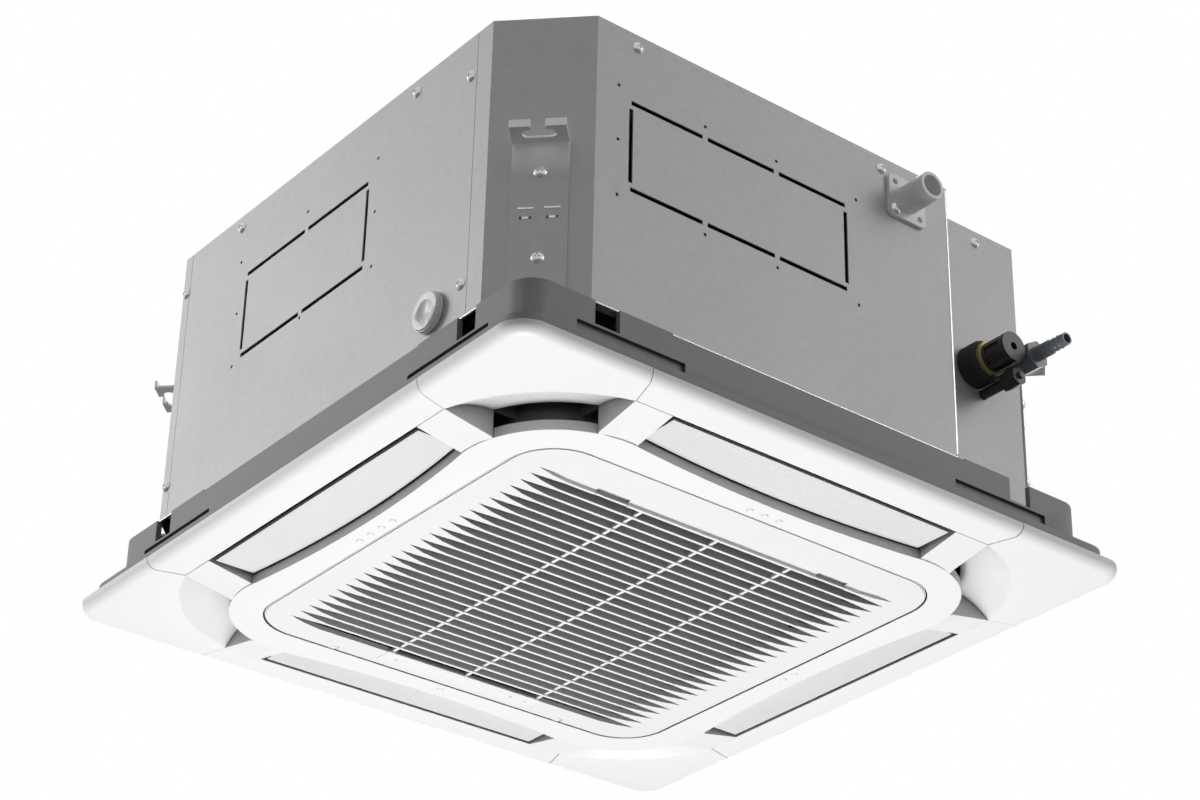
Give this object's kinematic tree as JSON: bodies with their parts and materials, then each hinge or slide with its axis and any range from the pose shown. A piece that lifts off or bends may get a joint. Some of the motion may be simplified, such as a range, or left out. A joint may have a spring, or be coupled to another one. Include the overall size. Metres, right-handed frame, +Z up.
{
  "type": "ceiling cassette air conditioner",
  "caption": "Ceiling cassette air conditioner: chamfered sheet metal casing hung from corner brackets, square panel with slotted suction grille, swinging flaps and corner outlets.",
  "frame": {"origin": "centre of the four suspension slots, on the underside of the hanger plates", "axes": "+Z up, -Y the front with the drain-water plug, +X the side with the drain pipe and the pipe fittings"},
  "size_m": [0.65, 0.625, 0.3377],
  "materials": {
    "galvanised": "satin",
    "bracket_steel": "satin",
    "screw_steel": "satin",
    "white_plastic": "satin",
    "flap_plastic": "matte",
    "grey_plastic": "matte",
    "light_grey_plastic": "matte",
    "black_plastic": "matte",
    "spigot_plastic": "satin",
    "insulation": "matte",
    "brass": "satin",
    "copper": "satin",
    "foam": "matte",
    "fins": "satin",
    "fan_plastic": "matte",
    "orange_plastic": "satin",
    "board": "satin",
    "filter_mesh": "matte"
  },
  "bodies": {
    "unit": {"top_plate": "galvanised", "side_panel_front": "galvanised", "side_panel_right": "galvanised", "side_panel_back": "galvanised", "side_panel_left": "galvanised", "piping_panel": "galvanised", "hanger_near": "bracket_steel", "hanger_right": "bracket_steel", "hanger_far": "bracket_steel", "hanger_left": "bracket_steel", "casing_screws": "screw_steel", "water_plug": "light_grey_plastic", "drain_socket": "light_grey_plastic", "pipe_sleeve": "insulation", "gas_union": "brass", "gas_nut": "black_plastic", "liquid_coupling": "spigot_plastic", "bleed_valve": "black_plastic", "casing_liner": "insulation", "coil_fins": "fins", "gas_line": "copper", "liquid_line": "copper", "drain_pan": "foam", "bell_mouth": "grey_plastic", "fan_motor": "galvanised", "drain_pump": "white_plastic", "drain_hose": "grey_plastic", "float_stem": "white_plastic", "control_box": "galvanised", "control_lid": "galvanised", "control_board": "board", "terminal_block": "white_plastic", "panel_frame": "grey_plastic", "face_panel": "white_plastic", "corner_cover_near": "white_plastic", "corner_cover_right": "white_plastic", "corner_cover_far": "white_plastic", "corner_cover_left": "white_plastic", "centre_ring": "white_plastic", "flap_motor_front": "screw_steel", "flap_motor_right": "screw_steel", "flap_motor_back": "screw_steel", "flap_motor_left": "screw_steel", "panel_bolts": "screw_steel"},
    "fan": {"turbo_fan": "fan_plastic", "fan_shaft": "screw_steel", "fan_nut": "screw_steel"},
    "float": {"float_ring": "orange_plastic"},
    "front_flap": {"flap_front": "flap_plastic"},
    "right_flap": {"flap_right": "flap_plastic"},
    "back_flap": {"flap_back": "flap_plastic"},
    "left_flap": {"flap_left": "flap_plastic"},
    "grille": {"suction_grille": "white_plastic", "air_filter": "filter_mesh", "receiver_strip": "white_plastic"},
    "front_latch": {"latch_front": "white_plastic"},
    "back_latch": {"latch_back": "white_plastic"}
  },
  "joints": [
    {"name": "fan_spin", "type": "hinge", "parent": "unit", "child": "fan", "pos_m": [0, 0, 0], "axis": [0, 0, 1], "continuous": true},
    {"name": "float_rise", "type": "slide", "parent": "unit", "child": "float", "axis": [0, 0, 1], "range_m": [0, 0.012]},
    {"name": "front_flap_swing", "type": "hinge", "parent": "unit", "child": "front_flap", "pos_m": [0, -0.244, -0.1985], "axis": [1, 0, 0], "range_deg": [0, 60]},
    {"name": "right_flap_swing", "type": "hinge", "parent": "unit", "child": "right_flap", "pos_m": [0.244, 0, -0.1985], "axis": [0, 1, 0], "range_deg": [0, 60]},
    {"name": "back_flap_swing", "type": "hinge", "parent": "unit", "child": "back_flap", "pos_m": [0, 0.244, -0.1985], "axis": [-1, 0, 0], "range_deg": [0, 60]},
    {"name": "left_flap_swing", "type": "hinge", "parent": "unit", "child": "left_flap", "pos_m": [-0.244, 0, -0.1985], "axis": [0, -1, 0], "range_deg": [0, 60]},
    {"name": "grille_swing", "type": "hinge", "parent": "unit", "child": "grille", "pos_m": [-0.2035, 0, -0.2142], "axis": [0, 1, 0], "range_deg": [0, 60]},
    {"name": "front_latch_slide", "type": "slide", "parent": "grille", "child": "front_latch", "axis": [1, 0, 0], "range_m": [0, 0.0042]},
    {"name": "back_latch_slide", "type": "slide", "parent": "grille", "child": "back_latch", "axis": [1, 0, 0], "range_m": [0, 0.0042]}
  ]
}
